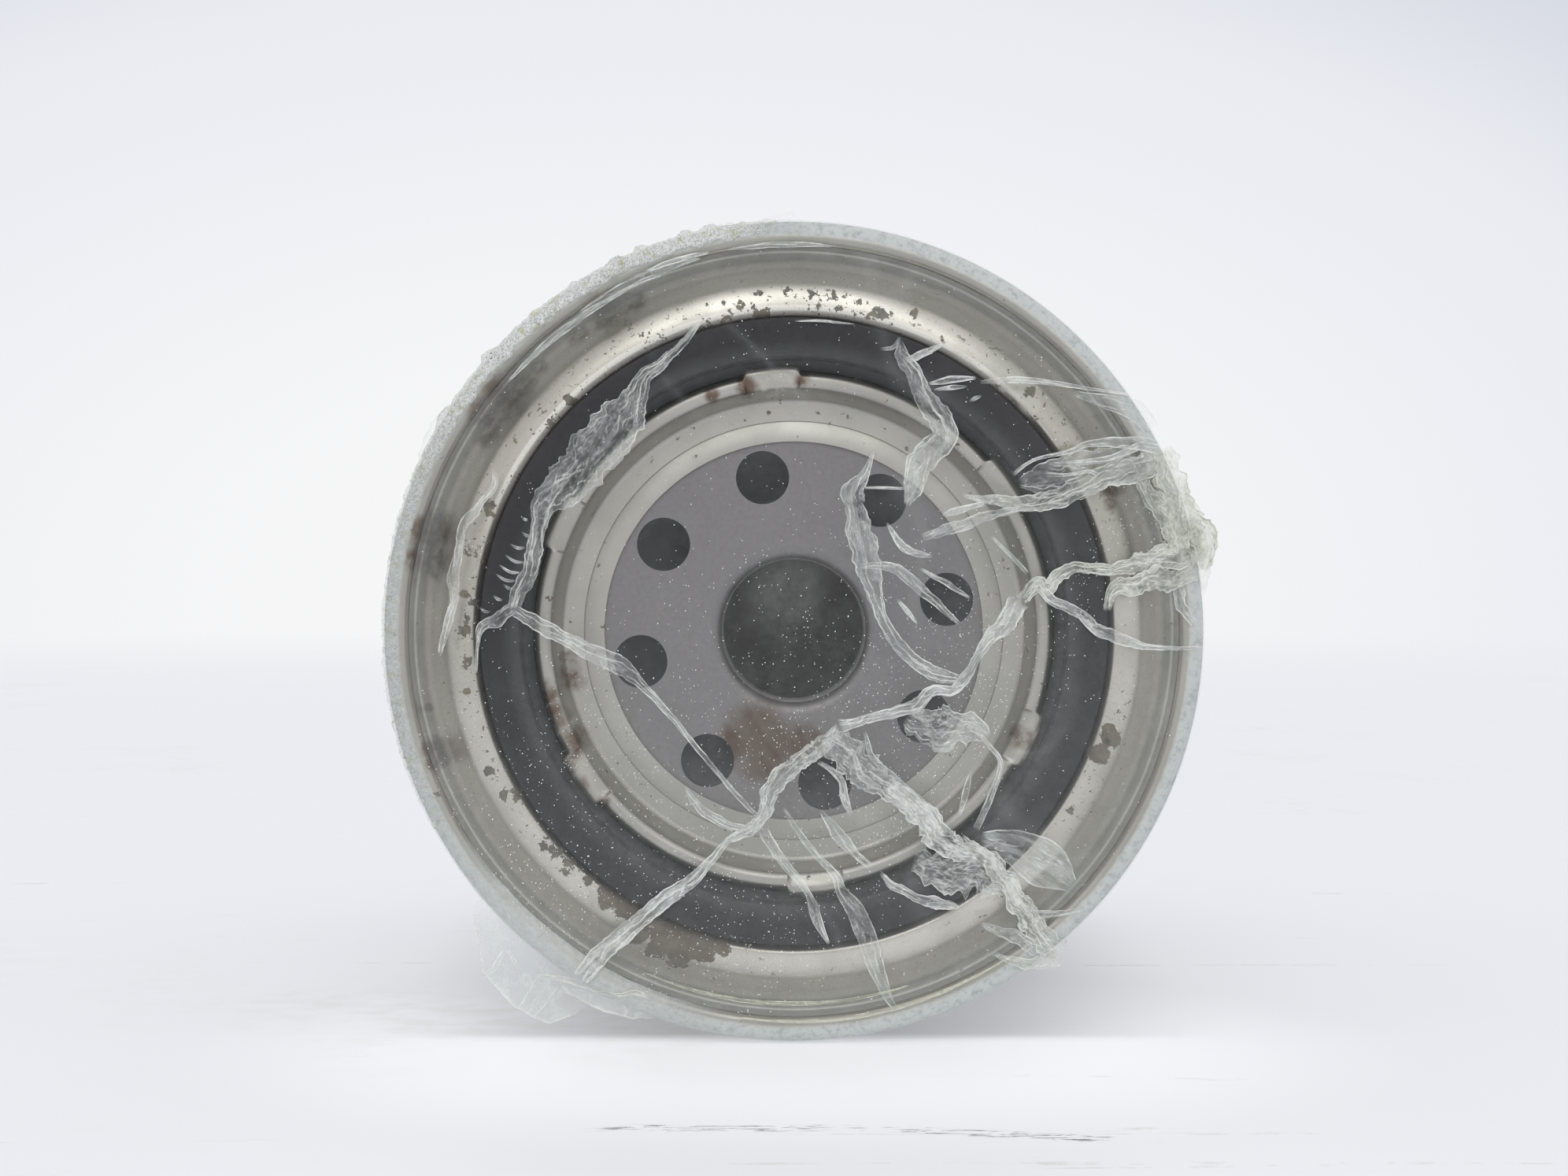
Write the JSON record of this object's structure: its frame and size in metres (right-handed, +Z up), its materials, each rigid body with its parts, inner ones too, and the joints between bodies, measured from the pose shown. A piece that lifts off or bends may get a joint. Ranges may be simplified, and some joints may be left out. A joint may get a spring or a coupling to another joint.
{
  "type": "spin-on filter",
  "caption": "Spin-on filter canister in clear shrink film: seamed steel can, threaded base plate, ring gasket, pleated element, ring magnet and bypass valve.",
  "frame": {"origin": "centre of the gasket's sealing face, on the canister's axis", "axes": "+Y along the canister's axis towards the domed end, so the threaded end faces -Y; +Z up as it lies in the picture; +X to the right seen from the threaded end"},
  "size_m": [0.0974, 0.1459, 0.0974],
  "materials": {
    "can_coat": "pale silver-grey coat, slightly speckled",
    "lid_steel": "bare tinned steel, dulled, with rust spots",
    "plate_steel": "bare pressed steel, matt",
    "black_rubber": "smooth black nitrile",
    "seam_sealant": "dried sealing compound",
    "cap_steel": "tinned sheet",
    "spring_steel": "oiled wire",
    "potting": "red-brown plastisol",
    "filter_paper": "resin-treated paper",
    "magnet": "sintered ferrite",
    "film": "clear shrink film, creased and dusty"
  },
  "bodies": {
    "canister": {"can_shell": "can_coat", "seaming_lid": "lid_steel", "base_plate": "plate_steel", "gasket": "black_rubber", "seam_compound": "seam_sealant", "drain_back_valve": "black_rubber", "support_spring": "spring_steel", "shrink_film": "film"},
    "element": {"outlet_seal": "black_rubber", "upper_end_cap": "cap_steel", "lower_end_cap": "cap_steel", "upper_potting": "potting", "lower_potting": "potting", "pleated_media": "filter_paper", "media_seam_clip": "cap_steel", "centre_tube": "cap_steel", "bypass_retainer": "cap_steel", "bypass_spring": "spring_steel", "magnet_cup": "cap_steel", "ring_magnet": "magnet", "pole_ring": "cap_steel", "spring_seat": "cap_steel"},
    "poppet": {"bypass_poppet": "cap_steel", "bypass_seal": "black_rubber"}
  },
  "joints": [
    {"name": "element_float", "type": "slide", "parent": "canister", "child": "element", "axis": [0, 1, 0], "range_m": [0, 0.0015], "stiffness_N_per_m": 15000, "springref_m": -0.005, "deforming": ["support_spring"]},
    {"name": "bypass_open", "type": "slide", "parent": "element", "child": "poppet", "axis": [0, -1, 0], "range_m": [0, 0.004], "stiffness_N_per_m": 2000, "springref_m": -0.006, "deforming": ["bypass_spring"]}
  ]
}
